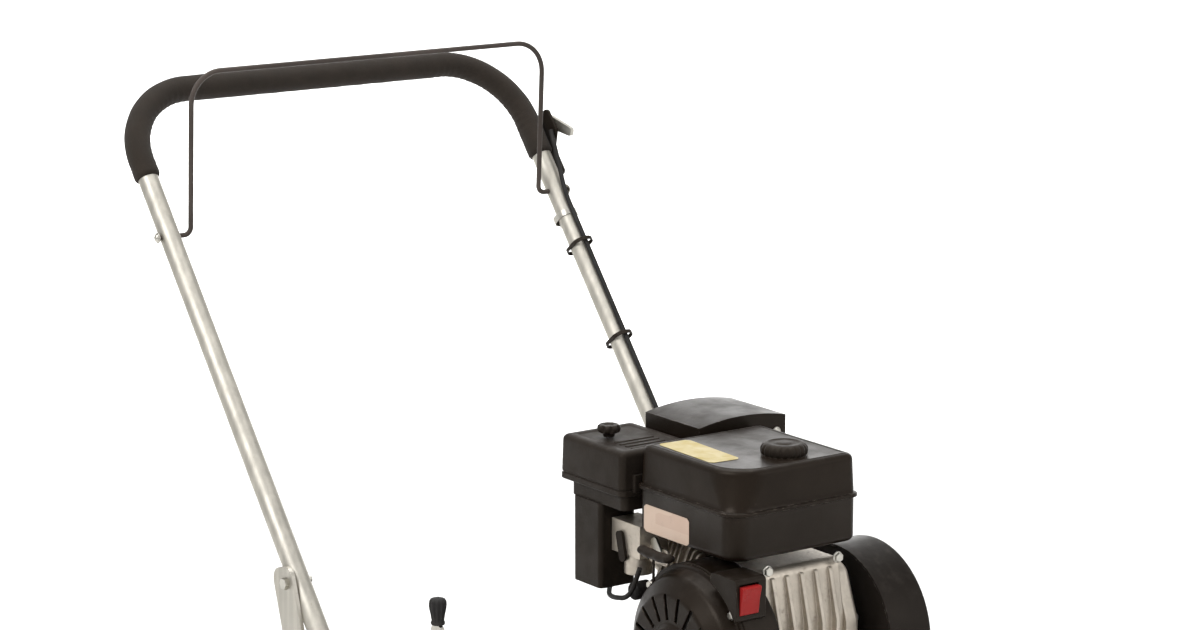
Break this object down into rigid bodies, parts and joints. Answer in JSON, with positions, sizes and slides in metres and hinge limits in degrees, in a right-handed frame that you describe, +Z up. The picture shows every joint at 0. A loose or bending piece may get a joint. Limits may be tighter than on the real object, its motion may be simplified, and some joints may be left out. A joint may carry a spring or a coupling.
{
  "type": "lawn dethatcher",
  "caption": "Walk-behind power rake: engine-driven reel of vertical knives under a sheet steel deck, U-shaped push handle with foam grip and clutch bail.",
  "frame": {"origin": "on the ground under the middle of the machine's box", "axes": "+X forward, the way it is pushed; +Y to the machine's left; +Z up"},
  "size_m": [1.06, 0.71, 1.0336],
  "materials": {
    "deck_paint": "satin black powder coat",
    "handle_metal": "zinc plated, lightly brushed",
    "foam": "matte closed-cell foam",
    "wire": "satin black",
    "zinc": "zinc plated",
    "steel": "machined",
    "black_plastic": "moulded, matte",
    "tank_paint": "semi-gloss black",
    "cast_alu": "die cast",
    "rubber_black": "matte",
    "tyre": "matte",
    "red_plastic": "gloss",
    "blade_steel": "hardened, ground",
    "cast_iron": "as cast"
  },
  "bodies": {
    "chassis": {"side_plate_right": "deck_paint", "side_plate_left": "deck_paint", "deck_hood": "deck_paint", "engine_plate": "deck_paint", "rear_flap": "rubber_black", "front_axle": "zinc", "handle_tube": "handle_metal", "foam_grip": "foam", "handle_braces": "handle_metal", "handle_bolts": "zinc", "throttle_bracket": "black_plastic", "throttle_cable": "rubber_black", "clutch_cable": "rubber_black", "cable_clips": "black_plastic", "crankcase": "cast_alu", "crankcase_cover": "cast_alu", "cylinder": "cast_alu", "cylinder_head": "cast_alu", "rocker_cover": "cast_alu", "fan_shroud": "tank_paint", "recoil_housing": "tank_paint", "fuel_tank": "tank_paint", "air_cleaner_base": "black_plastic", "air_cleaner_cover": "black_plastic", "carburetor": "cast_alu", "muffler": "steel", "muffler_guard": "tank_paint", "spark_plug": "rubber_black", "engine_bolts": "zinc", "belt_guard": "deck_paint", "guard_backplate": "deck_paint", "reel_bearings": "cast_iron", "depth_quadrant": "zinc", "drive_belt": "rubber_black"},
    "clutch_bail": {"bail": "wire", "bail_caps": "black_plastic"},
    "throttle_control": {"throttle_lever": "zinc"},
    "governor": {"governor_arm": "zinc"},
    "choke": {"choke_lever": "black_plastic"},
    "tank_cap": {"fuel_cap": "black_plastic"},
    "cleaner_knob": {"air_cleaner_knob": "black_plastic"},
    "ignition_switch": {"engine_switch": "red_plastic"},
    "oil_cap": {"oil_dipstick": "black_plastic"},
    "starter": {"starter_handle": "black_plastic"},
    "crank": {"crankshaft": "steel", "flywheel": "cast_iron", "engine_pulley": "cast_iron"},
    "reel": {"reel_shaft": "steel", "cutter_blades": "blade_steel", "blade_spacers": "steel", "reel_pulley": "cast_iron"},
    "idler": {"idler_arm": "zinc"},
    "idler_wheel": {"idler_pulley": "black_plastic"},
    "depth_control": {"depth_axle": "deck_paint", "depth_lever": "zinc", "depth_knob": "black_plastic"},
    "wheel_front_right": {"front_wheel_right": "tyre"},
    "wheel_front_left": {"front_wheel_left": "tyre"},
    "wheel_rear_right": {"rear_wheel_right": "tyre"},
    "wheel_rear_left": {"rear_wheel_left": "tyre"}
  },
  "joints": [
    {"name": "bail_hinge", "type": "hinge", "parent": "chassis", "child": "clutch_bail", "pos_m": [-0.38551, 0, 0.83127], "axis": [0, -1, 0], "range_deg": [0, 35], "stiffness_Nm_per_rad": 0.8, "springref_deg": -34.38},
    {"name": "throttle_pivot", "type": "hinge", "parent": "chassis", "child": "throttle_control", "pos_m": [-0.42919, 0.30375, 0.91411], "axis": [0, -1, 0], "range_deg": [0, 50]},
    {"name": "governor_pivot", "type": "hinge", "parent": "chassis", "child": "governor", "pos_m": [0.146, 0.062, 0.492], "axis": [0, -1, 0], "range_deg": [0, 20]},
    {"name": "choke_pivot", "type": "hinge", "parent": "chassis", "child": "choke", "pos_m": [0.086, 0.0458, 0.508], "axis": [0, 1, 0], "range_deg": [0, 40]},
    {"name": "fuel_cap_turn", "type": "hinge", "parent": "chassis", "child": "tank_cap", "pos_m": [0.258, 0.156, 0.627], "axis": [0, 0, 1], "range_deg": [0, 90]},
    {"name": "cleaner_knob_turn", "type": "hinge", "parent": "chassis", "child": "cleaner_knob", "pos_m": [0.038, 0.066, 0.616], "axis": [0, 0, 1], "range_deg": [0, 180]},
    {"name": "switch_rock", "type": "hinge", "parent": "chassis", "child": "ignition_switch", "pos_m": [0.335, 0.044, 0.49], "axis": [0, -1, 0], "range_deg": [0, 14]},
    {"name": "oil_cap_turn", "type": "hinge", "parent": "chassis", "child": "oil_cap", "pos_m": [0.324, 0.149, 0.336], "axis": [1, 0, 0], "range_deg": [0, 180]},
    {"name": "starter_pull", "type": "slide", "parent": "chassis", "child": "starter", "axis": [0, 0, 1], "range_m": [0, 0.1], "stiffness_N_per_m": 25, "springref_m": -0.3},
    {"name": "crank_spin", "type": "hinge", "parent": "chassis", "child": "crank", "pos_m": [0.246, 0, 0.406], "axis": [0, 1, 0], "continuous": true},
    {"name": "reel_spin", "type": "hinge", "parent": "chassis", "child": "reel", "pos_m": [0.27, 0, 0.122], "axis": [0, 1, 0], "continuous": true},
    {"name": "idler_swing", "type": "hinge", "parent": "chassis", "child": "idler", "pos_m": [0.226, 0.244, 0.19], "axis": [0, 1, 0], "range_deg": [0, 5.6]},
    {"name": "idler_spin", "type": "hinge", "parent": "idler", "child": "idler_wheel", "pos_m": [0.2685, 0.272, 0.255], "axis": [0, 1, 0], "continuous": true},
    {"name": "depth_swing", "type": "hinge", "parent": "chassis", "child": "depth_control", "pos_m": [0.15, 0, 0.17], "axis": [0, -1, 0], "range_deg": [0, 22]},
    {"name": "front_right_spin", "type": "hinge", "parent": "chassis", "child": "wheel_front_right", "pos_m": [0.45, -0.28, 0.08], "axis": [0, 1, 0], "continuous": true},
    {"name": "front_left_spin", "type": "hinge", "parent": "chassis", "child": "wheel_front_left", "pos_m": [0.45, 0.28, 0.08], "axis": [0, 1, 0], "continuous": true},
    {"name": "rear_right_spin", "type": "hinge", "parent": "depth_control", "child": "wheel_rear_right", "pos_m": [0.075, -0.33, 0.115], "axis": [0, 1, 0], "continuous": true},
    {"name": "rear_left_spin", "type": "hinge", "parent": "depth_control", "child": "wheel_rear_left", "pos_m": [0.075, 0.33, 0.115], "axis": [0, 1, 0], "continuous": true}
  ],
  "couplings": [
    {"joint": "governor_pivot", "follows": "throttle_pivot", "ratio": 0.4},
    {"joint": "idler_swing", "follows": "bail_hinge", "ratio": 0.16},
    {"joint": "reel_spin", "follows": "crank_spin", "ratio": 0.5926},
    {"joint": "idler_spin", "follows": "crank_spin", "ratio": 1.28}
  ]
}
